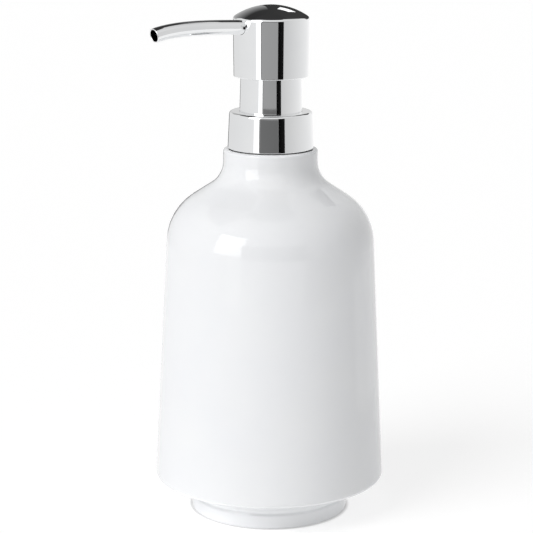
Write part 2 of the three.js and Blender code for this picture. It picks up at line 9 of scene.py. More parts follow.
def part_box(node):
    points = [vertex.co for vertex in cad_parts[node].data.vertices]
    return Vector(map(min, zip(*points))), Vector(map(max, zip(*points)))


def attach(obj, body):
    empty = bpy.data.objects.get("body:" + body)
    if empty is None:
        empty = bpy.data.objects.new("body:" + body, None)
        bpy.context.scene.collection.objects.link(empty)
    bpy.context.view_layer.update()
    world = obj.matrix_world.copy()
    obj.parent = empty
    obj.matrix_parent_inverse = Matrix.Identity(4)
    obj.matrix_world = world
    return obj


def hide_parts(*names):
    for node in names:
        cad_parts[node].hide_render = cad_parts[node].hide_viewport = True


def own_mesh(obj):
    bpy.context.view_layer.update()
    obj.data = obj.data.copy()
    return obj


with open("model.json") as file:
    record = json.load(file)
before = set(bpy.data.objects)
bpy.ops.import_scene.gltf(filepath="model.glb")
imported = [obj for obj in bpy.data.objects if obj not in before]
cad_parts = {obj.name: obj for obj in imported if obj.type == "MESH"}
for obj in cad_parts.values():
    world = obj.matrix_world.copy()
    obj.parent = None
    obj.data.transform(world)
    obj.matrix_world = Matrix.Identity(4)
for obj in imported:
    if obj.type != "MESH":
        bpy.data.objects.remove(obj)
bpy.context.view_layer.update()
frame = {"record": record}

MM = 0.001
GAP = 0.3  # that the CAD solids keep to each other
FIT = 0.04  # that two pieces which touch in the real object keep to each other here
FINE, MEDIUM, SMALL = 256, 160, 96  # facets round a turned piece
CAMERA_AZIMUTH = math.radians(53)
scene = bpy.context.scene


def low(node):
    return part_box(node)[0].z / MM


def top(node):
    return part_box(node)[1].z / MM


def radius(node):
    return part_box(node)[1].x / MM


# ---- outlines and meshes ----

ARC_STEP, LEAST_STEPS = math.radians(9), 5
SUPPORT, LONG = 0.25, 0.6  # how far the extra points are from the ends of a long stretch


def rounded(corners, closed):
    """Points of an outline of (radius, height) or (radius, height, rounding) corners.
    A LONG straight stretch has a point near each end, so that smooth shading stays flat there."""
    count = len(corners)
    runs = []
    for i, corner in enumerate(corners):
        here = Vector(corner[:2])
        rounding = corner[2] if len(corner) > 2 else 0
        if not rounding:
            runs.append([here])
            continue
        back = (Vector(corners[i - 1][:2]) - here).normalized()
        ahead = (Vector(corners[(i + 1) % count][:2]) - here).normalized()
        half = back.angle(ahead) / 2
        centre = here + (back + ahead).normalized() * (rounding / math.sin(half))
        start = here + back * (rounding / math.tan(half)) - centre
        end = here + ahead * (rounding / math.tan(half)) - centre
        sweep = start.angle_signed(end)
        steps = max(LEAST_STEPS, math.ceil(abs(sweep) / ARC_STEP))
        first = math.atan2(start.y, start.x)
        runs.append([
            centre + Vector((math.cos(a), math.sin(a))) * rounding
            for a in (first - sweep * k / steps for k in range(steps + 1))
        ])
    points = []
    for i, run in enumerate(runs):
        points += run
        if i == count - 1 and not closed:
            break
        a, b = run[-1], runs[(i + 1) % count][0]
        length = (b - a).length
        if length > LONG:
            inset = (b - a) * (min(SUPPORT, length / 6) / length)
            points += [a + inset, b - inset]
    return points


def arc(centre_z, sphere, from_radius, to_radius, steps):
    """Points of a dome's outline, on a sphere centred on the axis."""
    return [
        (r, centre_z + math.sqrt(sphere**2 - r**2))
        for r in (from_radius + (to_radius - from_radius) * k / steps for k in range(steps))
    ]


def new_object(name, bm, smooth_angle=30):
    bmesh.ops.recalc_face_normals(bm, faces=bm.faces)
    mesh = bpy.data.meshes.new(name)
    bm.to_mesh(mesh)
    bm.free()
    mesh.shade_smooth()
    mesh.set_sharp_from_angle(angle=math.radians(smooth_angle))
    obj = bpy.data.objects.new(name, mesh)
    scene.collection.objects.link(obj)
    return obj


def spun(points, facets, place):
    """A closed surface from an outline swept round. place(point, angle) gives each vertex.
    An outline that starts on the axis also ends on it; any other closes on itself."""
    bm = bmesh.new()
    rings = []
    for p in points:
        if p.x < 1e-6:
            rings.append([bm.verts.new(place(p, 0))] * facets)
        else:
            rings.append([bm.verts.new(place(p, 2 * math.pi * k / facets)) for k in range(facets)])
    if points[0].x > 1e-6:
        rings.append(rings[0])
    for ring, following in zip(rings, rings[1:]):
        for k in range(facets):
            corners = [ring[k], ring[k - 1], following[k - 1], following[k]]
            face = list(dict.fromkeys(corners))
            if len(face) > 2:
                bm.faces.new(face)
    return bm


def on_axis(p, angle):
    return Vector((p.x * math.cos(angle), p.x * math.sin(angle), p.y)) * MM


def turned(name, corners, facets=MEDIUM):
    closed = corners[0][0] > 0
    return new_object(name, spun(rounded(corners, closed), facets, on_axis))


def rod(start, direction, r, length, facets=48):
    """A round cutter from a point along a direction, in millimetres."""
    turn = Vector((0, 0, 1)).rotation_difference(Vector(direction))
    outline = [Vector((0, 0)), Vector((r, 0)), Vector((r, length)), Vector((0, length))]

    def place(p, angle):
        local = Vector((p.x * math.cos(angle), p.x * math.sin(angle), p.y))
        return (turn @ local + Vector(start)) * MM

    return new_object("cutter", spun(outline, facets, place))


def boolean(obj, tool, operation):
    """Joins or cuts obj with tool, which is used up."""
    modifier = obj.modifiers.new("cut", "BOOLEAN")
    modifier.operation = operation
    modifier.solver = "EXACT"
    modifier.object = tool
    graph = bpy.context.evaluated_depsgraph_get()
    mesh = bpy.data.meshes.new_from_object(obj.evaluated_get(graph))
    obj.modifiers.clear()
    obj.data = mesh
    mesh.name = obj.name
    mesh.shade_smooth()
    mesh.set_sharp_from_angle(angle=math.radians(30))
    bpy.data.objects.remove(tool)
    return obj


def skinned(name, rings, bm, smooth_angle=30):
    """A solid through rings of vertices, with flat ends."""
    for a, b in zip(rings, rings[1:]):
        for k in range(len(a)):
            bm.faces.new((a[k - 1], a[k], b[k], b[k - 1]))
    bm.faces.new(rings[0])
    bm.faces.new(list(reversed(rings[-1])))
    return new_object(name, bm, smooth_angle)


THREAD_PITCH, THREAD_TURNS, THREAD_START = 3.175, 1.5, 133.4
THREAD_STEPS = 96  # in a turn
THREAD_FADE = THREAD_STEPS / 6
THREAD_LEAST = 0.4  # steps of the fade that are left at the very end
# the ridge's lower flank, from its root: share of the depth, and height off its middle
FLANK = [(0, -1.0), (0.25, -0.92), (0.8, -0.62), (1, -0.4)]
RIDGE = FLANK + [(share, -offset) for share, offset in reversed(FLANK)]


def thread(root, crest, start_z):
    """A helical ridge between two radii, with round flanks, fading out at its ends."""
    bm = bmesh.new()
    count = int(THREAD_STEPS * THREAD_TURNS)
    rings = []
    for i in range(count + 1):
        angle = 2 * math.pi * i / THREAD_STEPS
        depth = min(1, (i + THREAD_LEAST) / THREAD_FADE, (count - i + THREAD_LEAST) / THREAD_FADE)
        depth = depth * depth * (3 - 2 * depth)
        middle = start_z + THREAD_PITCH * i / THREAD_STEPS
        rings.append([
            bm.verts.new(on_axis(Vector((root + (crest - root) * share * depth, middle + offset)), angle))
            for share, offset in RIDGE
        ])
    return skinned("ridge", rings, bm)


# ---- materials ----

NOISE_SPAN = (0.3, 0.7)  # where nearly all of a noise's values lie


class Surface:
    """A Principled material whose colour, roughness and relief vary by noise in the part's frame."""

    def __init__(self, name, color, roughness, **sockets):
        self.material = bpy.data.materials.new(name)
        self.material.use_nodes = True
        self.tree = self.material.node_tree
        self.shader = self.tree.nodes["Principled BSDF"]
        self.coordinates = self.tree.nodes.new("ShaderNodeTexCoord")
        self.shader.inputs["Base Color"].default_value = (*color, 1)
        self.shader.inputs["Roughness"].default_value = roughness
        for socket, value in sockets.items():
            self.shader.inputs[socket.replace("_", " ")].default_value = value
        self.relief = None

    def noise(self, scale, detail=3, stretch=(1, 1, 1)):
        """A noise with this many features a metre, times the stretch on each axis."""
        mapping = self.tree.nodes.new("ShaderNodeMapping")
        mapping.inputs["Scale"].default_value = stretch
        self.tree.links.new(self.coordinates.outputs["Object"], mapping.inputs["Vector"])
        node = self.tree.nodes.new("ShaderNodeTexNoise")
        node.inputs["Scale"].default_value = scale
        node.inputs["Detail"].default_value = detail
        self.tree.links.new(mapping.outputs["Vector"], node.inputs["Vector"])
        return node.outputs["Fac"]

    def vary_color(self, fac, dark, light):
        node = self.tree.nodes.new("ShaderNodeValToRGB")
        for element, position, color in zip(node.color_ramp.elements, NOISE_SPAN, (dark, light)):
            element.position = position
            element.color = (*color, 1)
        self.tree.links.new(fac, node.inputs["Fac"])
        self.tree.links.new(node.outputs["Color"], self.shader.inputs["Base Color"])

    def remapped(self, fac, span, start, end):
        """A value that goes from start to end as fac crosses the span."""
        node = self.tree.nodes.new("ShaderNodeMapRange")
        values = {"From Min": span[0], "From Max": span[1], "To Min": start, "To Max": end}
        for socket, value in values.items():
            node.inputs[socket].default_value = value
        self.tree.links.new(fac, node.inputs["Value"])
        return node.outputs["Result"]

    def vary_roughness(self, fac, least, most):
        self.tree.links.new(self.remapped(fac, NOISE_SPAN, least, most), self.shader.inputs["Roughness"])

    def patch(self, centre, reach, outside, inside, span=(0, 1)):
        """A value that changes from outside to inside within reach of a point of the object."""
        mapping = self.tree.nodes.new("ShaderNodeMapping")
        mapping.vector_type = "TEXTURE"
        mapping.inputs["Location"].default_value = centre
        mapping.inputs["Scale"].default_value = (reach, reach, reach)
        gradient = self.tree.nodes.new("ShaderNodeTexGradient")
        gradient.gradient_type = "SPHERICAL"
        self.tree.links.new(self.coordinates.outputs["Object"], mapping.inputs["Vector"])
        self.tree.links.new(mapping.outputs["Vector"], gradient.inputs["Vector"])
        return self.remapped(gradient.outputs["Fac"], span, outside, inside)

    def product(self, first, second, socket):
        """Gives the shader's socket the product of two values."""
        node = self.tree.nodes.new("ShaderNodeMath")
        node.operation = "MULTIPLY"
        self.tree.links.new(first, node.inputs[0])
        self.tree.links.new(second, node.inputs[1])
        self.tree.links.new(node.outputs["Value"], self.shader.inputs[socket])

    def emboss(self, fac, strength, depth_mm):
        """Adds relief on top of any that is already there."""
        node = self.tree.nodes.new("ShaderNodeBump")
        node.inputs["Strength"].default_value = strength
        node.inputs["Distance"].default_value = depth_mm * MM
        self.tree.links.new(fac, node.inputs["Height"])
        if self.relief:
            self.tree.links.new(self.relief, node.inputs["Normal"])
        self.relief = node.outputs["Normal"]
        self.tree.links.new(self.relief, self.shader.inputs["Normal"])


def white_gloss():
    """Moulded white with a clear gloss: a trace of orange peel and of haze."""
    s = Surface("white_gloss", (0.86, 0.87, 0.885), 0.07, IOR=1.5)
    s.vary_color(s.noise(45, 4), (0.85, 0.86, 0.88), (0.87, 0.878, 0.89))
    s.vary_roughness(s.noise(70, 5), 0.025, 0.05)
    s.emboss(s.noise(260, 2), 0.02, 0.05)
    return s.material


def chrome():
    """Bright plating with faint polishing haze."""
    s = Surface("chrome_trim", (0.86, 0.87, 0.88), 0.03, Metallic=1)
    s.vary_color(s.noise(60, 3), (0.84, 0.85, 0.86), (0.88, 0.885, 0.89))
    s.vary_roughness(s.noise(120, 5), 0.015, 0.05)
    s.emboss(s.noise(90, 2), 0.01, 0.03)
    return s.material


def moulded(name, color, shade, roughness, grain=0.12, **sockets):
    """Injection-moulded plastic: a fine satin grain and slow flow marks."""
    s = Surface(name, color, roughness, **sockets)
    s.vary_color(s.noise(90, 4, stretch=(1, 1, 0.4)), shade, color)
    s.vary_roughness(s.noise(500, 4), roughness - 0.07, roughness + 0.07)
    s.emboss(s.noise(2500, 3), grain, 0.03)
    s.emboss(s.noise(160, 2, stretch=(1, 1, 0.3)), 0.05, 0.08)
    return s.material


def white_plastic():
    """Satin plastic of the hidden fittings."""
    return moulded("white_plastic", (0.86, 0.86, 0.85), (0.82, 0.82, 0.81), 0.38)


def natural_plastic():
    """Uncoloured plastic that lets some light through."""
    return moulded(
        "natural_plastic", (0.80, 0.83, 0.82), (0.72, 0.76, 0.75), 0.32, grain=0.02,
        Transmission_Weight=0.2, IOR=1.5, Subsurface_Weight=0.2, Subsurface_Scale=0.002,
    )


def steel():
    """Drawn wire and ground ball steel: streaks along the turning."""
    s = Surface("spring_steel", (0.62, 0.63, 0.64), 0.22, Metallic=1)
    s.vary_color(s.noise(700, 4, stretch=(1, 1, 6)), (0.5, 0.51, 0.53), (0.7, 0.71, 0.72))
    s.vary_roughness(s.noise(400, 5), 0.15, 0.32)
    s.emboss(s.noise(1800, 3, stretch=(1, 1, 5)), 0.1, 0.02)
    return s.material


def rubber():
    """Dark non-slip rubber: a fine pebbled grain with dusty highs."""
    s = Surface("pad_rubber", (0.03, 0.03, 0.033), 0.8)
    s.vary_color(s.noise(300, 5), (0.02, 0.02, 0.022), (0.06, 0.06, 0.064))
    s.vary_roughness(s.noise(600, 4), 0.65, 0.9)
    s.emboss(s.noise(1400, 3), 0.4, 0.08)
    return s.material


# ---- foot and bottle ----

FOOT_WALL, FOOT_FLOOR, BODY_WALL = 2.6, 2.7, 3.0
BODY_RADIUS, BODY_EDGE = 41.69, 1.8
SHOULDER = (36.78, 110.1, 20)
NECK_RADIUS, NECK_BORE = 16.85, 12.4
NECK_CORNER = (NECK_RADIUS, 123.15, 10.2)
RECESS_RADIUS, RECESS_Z = 14.9, 129.6
FOOT_OPENING = 26.5
SEAL_SINK = 0.02  # how far the foot seal sits below its CAD solid
PAD_GROOVE, PAD_GROOVE_DEPTH, PAD_GROOVE_STEP, PAD_GROOVE_FIRST = 1, 0.35, 3, 7
FOOT_GROOVE_Z, FOOT_GROOVE_HALF, FOOT_GROOVE_DEPTH = 5.6, 0.9, 0.4


def base_pad():
    """A rubber disc with ring grooves in its underside."""
    r, bottom, lid = radius("base_pad"), low("base_pad"), top("base_pad")
    slant = 0.15
    corners = [(0, bottom)]
    groove = PAD_GROOVE_FIRST
    while groove < r - 2 * PAD_GROOVE:
        end, roof = groove + PAD_GROOVE, bottom + PAD_GROOVE_DEPTH
        corners += [(groove, bottom, 0.1), (groove + slant, roof, 0.1)]
        corners += [(end - slant, roof, 0.1), (end, bottom, 0.1)]
        groove += PAD_GROOVE_STEP
    corners += [(r, bottom, 0.2), (r, lid, 0.15), (0, lid)]
    return turned("base_pad", corners)


def base_plug():
    """Round foot with a shallow groove round it, a recess for the pad and a hollow spigot on top."""
    pad_radius, recess = radius("base_pad") + GAP, top("base_pad") + 0.1
    foot, bottom, lid = radius("base_plug"), low("base_plug"), top("base_plug")
    spigot = FOOT_OPENING - 0.05
    shoulder = low("base_seal") - SEAL_SINK
    floor = recess + FOOT_FLOOR
    groove = bottom + FOOT_GROOVE_Z
    return turned("base_plug", [
        (0, recess), (pad_radius, recess, 0.2), (pad_radius, bottom, 0.15), (foot, bottom, 0.4),
        (foot, groove - FOOT_GROOVE_HALF, 0.6), (foot - FOOT_GROOVE_DEPTH, groove, 0.8),
        (foot, groove + FOOT_GROOVE_HALF, 0.6), (foot, shoulder, 0.35), (spigot, shoulder, 0.1),
        (spigot, lid, 0.3), (spigot - FOOT_WALL, lid, 0.3), (spigot - FOOT_WALL, floor, 1.5), (0, floor),
    ], FINE)


def base_seal():
    bottom, lid = low("base_seal") - SEAL_SINK, low("bottle_shell") - SEAL_SINK
    r = radius("base_seal") - 0.15
    return turned("base_seal", [
        (FOOT_OPENING, bottom, 0.15), (r, bottom, 0.3), (r, lid, 0.3), (FOOT_OPENING, lid, 0.15),
    ])


def moved_in(a, b, distance):
    """The stretch from a to b, moved to its left by distance."""
    a, b = Vector(a[:2]), Vector(b[:2])
    way = (b - a).normalized()
    left = Vector((-way.y, way.x)) * distance
    return a + left, b + left


def crossing(first, second):
    """Where the lines through two stretches meet."""
    (a, b), (c, d) = first, second
    u, v = b - a, d - c
    t = (c - a).cross(v) / u.cross(v)
    return a + u * t


def bottle_shell():
    """One wall all over: the inner outline is the outer one moved in."""
    bottom, rim = low("bottle_shell"), top("bottle_shell")
    floor = bottom + BODY_WALL
    edge = (BODY_RADIUS, bottom)
    wall = moved_in(edge, SHOULDER, BODY_WALL)
    cone = moved_in(SHOULDER, NECK_CORNER, BODY_WALL)
    bore = (Vector((NECK_BORE, 0)), Vector((NECK_BORE, rim)))
    bore_end, inner_shoulder = crossing(cone, bore), crossing(wall, cone)
    inner_edge = crossing(wall, (Vector((0, floor)), Vector((1, floor))))
    return turned("bottle_shell", [
        (FOOT_OPENING, bottom, 0.3), (*edge, BODY_EDGE), SHOULDER, NECK_CORNER,
        (NECK_RADIUS, rim, 1), (RECESS_RADIUS, rim, 0.25), (RECESS_RADIUS, RECESS_Z, 0.3),
        (NECK_BORE, RECESS_Z, 0.4), (*bore_end, 2), (*inner_shoulder, SHOULDER[2] - BODY_WALL),
        (*inner_edge, 4), (FOOT_OPENING, floor, 0.5),
    ], FINE)


FINISH_BORE, FINISH_ROOT, THREAD_HEIGHT = 8.9, 10.9, 1.0
THREAD_BITE = 0.4  # that a thread's ridge starts inside its wall


def neck_insert():
    """Threaded finish with a flange that fills the recess inside the rim."""
    flange_low = RECESS_Z + 0.03
    flange_top = flange_low + 1.2
    bottom, lid = low("neck_insert"), top("neck_insert")
    spigot, flange = NECK_BORE - 0.05, RECESS_RADIUS - 0.05
    body = turned("neck_insert", [
        (FINISH_BORE, bottom, 0.4), (spigot, bottom, 0.6), (spigot, flange_low, 0.1),
        (flange, flange_low, 0.2), (flange, flange_top, 0.2),
        (FINISH_ROOT, flange_top, 0.5), (FINISH_ROOT, lid, 0.4), (FINISH_BORE, lid, 0.4),
    ])
    ridge = thread(FINISH_ROOT - THREAD_BITE, FINISH_ROOT + THREAD_HEIGHT, THREAD_START)
    return boolean(body, ridge, "UNION")


# ---- closure ----

CAP_HOLE, GASKET_BORE = 7.9, 8
COLLAR_TOP_RADIUS, COLLAR_WALL, PLATE = 14.73, 0.6, 0.7
SLEEVE_RADIUS, SLEEVE_FOOT_RADIUS, SLEEVE_WALL = 10.7, 11.1, 0.6
CAP_THREAD_HEIGHT, THREAD_CLEARANCE = 0.85, 0.15


def neck_gasket():
    bottom, lid, r = low("neck_gasket"), top("neck_gasket"), radius("neck_gasket")
    return turned("neck_gasket", [
        (GASKET_BORE, bottom, 0.2), (r, bottom, 0.3), (r, lid, 0.3), (GASKET_BORE, lid, 0.2),
    ])


def collar_radius(z):
    wide, bottom, lid = radius("collar_shell"), low("collar_shell"), top("collar_shell")
    return wide + (COLLAR_TOP_RADIUS - wide) * (z - bottom) / (lid - bottom)


def collar_shell():
    """Thin chrome skirt that narrows upward, with a plate round the sleeve on top."""
    bottom, lid = low("collar_shell"), top("collar_shell")
    hole = SLEEVE_FOOT_RADIUS + FIT
    inside = lid - PLATE
    wide, inner = radius("collar_shell"), collar_radius(inside) - COLLAR_WALL
    return turned("collar_shell", [
        (hole, lid, 0.12), (collar_radius(lid), lid, 0.9), (wide, bottom, 0.25),
        (wide - COLLAR_WALL, bottom, 0.25), (inner, inside, 0.4), (hole, inside, 0.1),
    ], FINE)


def screw_cap():
    """Cap with its inner thread, inside the chrome collar."""
    crest = FINISH_ROOT + THREAD_HEIGHT + THREAD_CLEARANCE
    root = crest + CAP_THREAD_HEIGHT
    bottom, lid = low("screw_cap"), top("screw_cap")
    inset = COLLAR_WALL + 0.05
    wide, narrow = collar_radius(bottom) - inset, collar_radius(lid) - inset
    ledge = lid - 1.2
    body = turned("screw_cap", [
        (CAP_HOLE, lid, 0.3), (narrow, lid, 0.5), (wide, bottom, 0.3),
        (root, bottom, 0.3), (root, ledge, 0.4), (CAP_HOLE, ledge, 0.2),
    ])
    ridge = thread(root + THREAD_BITE, crest, THREAD_START + THREAD_PITCH / 2)
    return boolean(body, ridge, "UNION")


def guide_sleeve():
    """Chrome chimney that widens a little to its foot, with a flange under the collar's plate."""
    lid, collar_top = top("guide_sleeve"), top("collar_shell")
    flange_low, flange_r = low("guide_sleeve"), radius("guide_sleeve")
    flange_top = flange_low + PLATE
    inner_foot = SLEEVE_FOOT_RADIUS - SLEEVE_WALL
    return turned("guide_sleeve", [
        (SLEEVE_RADIUS, lid, 0.28), (SLEEVE_FOOT_RADIUS, collar_top),
        (SLEEVE_FOOT_RADIUS, flange_top, 0.15), (flange_r, flange_top, 0.2), (flange_r, flange_low, 0.2),
        (inner_foot, flange_low, 0.2), (inner_foot, collar_top), (SLEEVE_RADIUS - SLEEVE_WALL, lid, 0.28),
    ], FINE)


# ---- pump ----

BARREL_RADIUS, BARREL_BORE, BARREL_FLOOR = 7.2, 6.2, 104
BALL_CHAMBER, BALL_PORT, SEAT_TOP = 3.6, 1.8, 100.5
BEAD, BEAD_FOOT, BEAD_HALF = 0.35, 0.5, 0.25  # height of a ring bead off the barrel, and its half widths
VENT_RADIUS, VENT_DROP = 0.6, 3
STEM_RADIUS, STEM_BORE = 3.3, 1.9
HOLE_RADIUS, PORT_RADIUS = 0.75, 0.55  # in the ball cage and in the plunger


def bead(z):
    """The outline of a ring bead round the barrel, from its upper foot to its lower one."""
    crest = BARREL_RADIUS + BEAD
    return [
        (BARREL_RADIUS, z + BEAD_FOOT, 0.2), (crest, z + BEAD_HALF, 0.15),
        (crest, z - BEAD_HALF, 0.15), (BARREL_RADIUS, z - BEAD_FOOT, 0.2),
    ]


def pump_housing():
    """Barrel with a flange, ring beads, a vent, the inlet seat and the dip tube's socket."""
    lid, bottom, flange = top("pump_housing"), low("pump_housing"), radius("pump_housing")
    under = lid - 1.1
    tube_top, tube = top("dip_tube") + 0.1, radius("dip_tube") + FIT
    body = turned("pump_housing", [
        (BARREL_BORE, lid, 0.25), (flange, lid, 0.3), (flange, under, 0.3), (BARREL_RADIUS, under, 0.4),
        *bead(under - 1.8), *bead(BARREL_FLOOR + 8), *bead(BARREL_FLOOR + 4.5),
        (BARREL_RADIUS, BARREL_FLOOR - 1, 1.2), (BALL_CHAMBER + 1.2, SEAT_TOP, 1),
        (tube + 1.1, tube_top, 0.8), (tube + 0.9, bottom, 0.3), (tube, bottom, 0.3), (tube, tube_top, 0.1),
        (BALL_PORT, tube_top, 0.2), (BALL_PORT, SEAT_TOP - BALL_CHAMBER + BALL_PORT, 0.2),
        (BALL_CHAMBER, SEAT_TOP, 0.3), (BALL_CHAMBER, BARREL_FLOOR, 0.2), (BARREL_BORE, BARREL_FLOOR, 0.3),
    ])
    vent = rod((BARREL_BORE - 1, 0, under - VENT_DROP), (1, 0, 0), VENT_RADIUS, 3)
    return boolean(body, vent, "DIFFERENCE")


def chaplet():
    """Guide ring for the stem, with a flange that the cap holds down and a dished mouth."""
    bottom, lid, flange = low("chaplet"), top("chaplet"), radius("chaplet")
    bore, step, under = STEM_RADIUS + 2 * FIT, top("pump_housing") + 0.05, lid - 1
    spigot, waist = BARREL_BORE - 0.06, CAP_HOLE - GAP
    dish = lid - 0.5
    return turned("chaplet", [
        (bore, bottom, 0.2), (spigot, bottom, 0.4), (spigot, step, 0.1), (waist, step, 0.2),
        (waist, under, 0.1), (flange, under, 0.3), (flange, lid, 0.35),
        (bore + 1.6, lid, 0.3), (bore + 1.2, dish, 0.3), (bore, dish, 0.3),
    ])


DIP_TUBE_BORE, DIP_TUBE_SLANT = 2, math.radians(40)


def dip_tube():
    """Thin soft tube whose lower end is cut at a slant."""
    r, bottom, lid = radius("dip_tube"), low("dip_tube"), top("dip_tube")
    tube = turned("dip_tube", [
        (DIP_TUBE_BORE, bottom, 0.08), (r, bottom, 0.08), (r, lid, 0.15), (DIP_TUBE_BORE, lid, 0.15),
    ], SMALL)
    slope = math.tan(DIP_TUBE_SLANT)
    for v in tube.data.vertices:
        if v.co.z < (bottom + 1) * MM:
            v.co.z += (v.co.x + r * MM) * slope
    return tube


def ball_cage():
    """Disc over the ball, with a boss that centres the spring and four holes for the soap."""
    r, bottom, lid = radius("ball_cage"), low("ball_cage"), top("ball_cage")
    ceiling, seat = bottom + 0.9, lid - 2
    inner, boss, holes = BALL_CHAMBER - 0.2, 3.15, 2.2
    body = turned("ball_cage", [
        (0, ceiling), (inner, ceiling, 0.2), (inner, bottom, 0.2),
        (r, bottom, 0.25), (r, seat, 0.25), (boss, seat, 0.2), (boss, lid, 0.5), (0, lid),
    ], SMALL)
    for k in range(4):
        a = math.pi / 2 * (k + 0.5)
        hole = rod((holes * math.cos(a), holes * math.sin(a), bottom - 1), (0, 0, 1), HOLE_RADIUS, 6, 32)
        boolean(body, hole, "DIFFERENCE")
    return body


SPRING_RADIUS, SPRING_WIRE, SPRING_TURNS = 4.6, 0.45, 6


def return_spring():
    """Steel wire wound in a helix, its end turns laid flat."""
    bottom = low("return_spring")
    length = top("return_spring") - bottom - 2 * SPRING_WIRE
    flat = 1 / SPRING_TURNS
    end = 2.2 * SPRING_WIRE

    def centre(t):
        angle = 2 * math.pi * SPRING_TURNS * t
        share = min(1, max(0, (t - flat) / (1 - 2 * flat)))
        rise = end * min(1, t / flat) + end * max(0, (t - 1) / flat + 1) + share * (length - 2 * end)
        x, y = SPRING_RADIUS * math.cos(angle), SPRING_RADIUS * math.sin(angle)
        return Vector((x, y, bottom + SPRING_WIRE + rise))

    steps, sides = 64 * SPRING_TURNS, 14
    bm = bmesh.new()
    rings = []
    for i in range(steps + 1):
        t = i / steps
        here = centre(t)
        out = Vector((here.x, here.y, 0)).normalized()
        along = (centre(min(1, t + 1e-4)) - centre(max(0, t - 1e-4))).normalized()
        up = along.cross(out)
        rings.append([
            bm.verts.new((here + (out * math.cos(b) + up * math.sin(b)) * SPRING_WIRE) * MM)
            for b in (2 * math.pi * k / sides for k in range(sides))
        ])
    return skinned("return_spring", rings, bm, 60)


def inlet_ball():
    low_corner, high_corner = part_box("inlet_ball")
    bm = bmesh.new()
    bmesh.ops.create_icosphere(bm, subdivisions=5, radius=(high_corner.z - low_corner.z) / 2)
    bmesh.ops.translate(bm, vec=(low_corner + high_corner) / 2, verts=bm.verts)
    return new_object("inlet_ball", bm)


def piston():
    """Sliding seal: a waist between two thin lips, and a collar on top."""
    bottom, lid, lip = low("piston"), top("piston"), radius("piston") + 0.1
    waist, bore = radius("piston") - 0.7, 2.5
    lip_end, dish_low, dish_top = lip - 0.15, bottom + 0.6, lid - 1.2
    return turned("piston", [
        (bore, dish_low, 0.2), (waist - 0.4, dish_low, 0.3), (lip_end, bottom, 0.08),
        (lip, bottom + 0.3, 0.1), (waist, bottom + 1.9, 0.4), (waist, lid - 1.6, 0.4),
        (lip, lid - 0.3, 0.1), (lip_end, lid, 0.08), (waist - 0.6, dish_top, 0.3), (4, dish_top, 0.2),
        (3.6, lid, 0.15), (bore, lid, 0.15),
    ])


def plunger():
    """Hollow rod: a boss in the spring, a flange, side ports that the piston opens, and a spigot."""
    bottom, lid, flange = low("plunger"), top("plunger"), radius("plunger")
    flange_low, flange_top = bottom + 3.3, low("piston") - GAP
    shoulder, spigot = low("stem") - 0.05, STEM_BORE - FIT
    boss, shaft, bore = 3, 2.4, 1
    bore_end, ports = flange_top + 0.3, low("piston") + 0.85
    body = turned("plunger", [
        (0, bottom), (boss, bottom, 0.6), (boss, flange_low, 0.3), (flange, flange_low, 0.2),
        (flange, flange_top, 0.3), (shaft, flange_top, 0.2), (shaft, shoulder, 0.2),
        (spigot, shoulder, 0.2), (spigot, lid, 0.3), (bore, lid, 0.2), (bore, bore_end), (0, bore_end),
    ], SMALL)
    boolean(body, rod((-4, 0, ports), (1, 0, 0), PORT_RADIUS, 8, 32), "DIFFERENCE")
    return boolean(body, rod((0, -4, ports), (0, 1, 0), PORT_RADIUS, 8, 32), "DIFFERENCE")


# ---- head and spout ----

HEAD_RADIUS, HEAD_BOTTOM_RADIUS, DOME_RADIUS, HEAD_WALL = 13.46, 13.2, 23.5, 0.9
SPOUT_RADIUS, SPOUT_BORE = 2.55, 2.1
SPOUT_ROOT, SPOUT_TIP = Vector((0, -4.6, 176.3)), Vector((0, -49.6, 176.1))
SPOUT_RISE, SPOUT_DROOP = math.radians(3.2), math.radians(13.7)
SPOUT_LEAD = (16, 11.8)  # of the curve's handles, at the root and at the tip
CORE_BOTTOM, HUB_RADIUS, HEAD_EDGE = 172.6, 6.4, 1.1


def spout_way():
    return Vector((0, -math.cos(SPOUT_RISE), math.sin(SPOUT_RISE)))


def stem():
    bottom, lid = low("stem"), top("stem")
    return turned("stem", [
        (STEM_BORE, bottom, 0.15), (STEM_RADIUS, bottom, 0.3),
        (STEM_RADIUS, lid, 0.4), (STEM_BORE, lid, 0.2),
    ], SMALL)


def head_core():
    """Moulded block: stem socket in a hub, and the channel to the spout."""
    apex = top("head_core")
    sphere = DOME_RADIUS - HEAD_WALL - GAP
    r = radius("head_core")
    centre_z = apex - sphere
    edge_z = centre_z + math.sqrt(sphere**2 - r**2)
    hub_low = low("head_core")
    socket, socket_top = STEM_RADIUS + FIT, top("stem") + 0.1
    body = turned("head_core", [
        *arc(centre_z, sphere, 0, r, 16), (r, edge_z, 0.4), (r, CORE_BOTTOM, 0.3),
        (HUB_RADIUS, CORE_BOTTOM, 0.6), (HUB_RADIUS, hub_low, 0.4), (socket, hub_low, 0.3),
        (socket, socket_top, 0.2), (STEM_BORE, socket_top, 0.2), (STEM_BORE, SPOUT_ROOT.z), (0, SPOUT_ROOT.z),
    ])
    boolean(body, rod((0, 0, SPOUT_ROOT.z), (0, -1, 0), SPOUT_BORE, 6, 40), "DIFFERENCE")
    spout_hole = rod(SPOUT_ROOT - spout_way() * GAP, spout_way(), SPOUT_RADIUS + FIT, 20)
    return boolean(body, spout_hole, "DIFFERENCE")


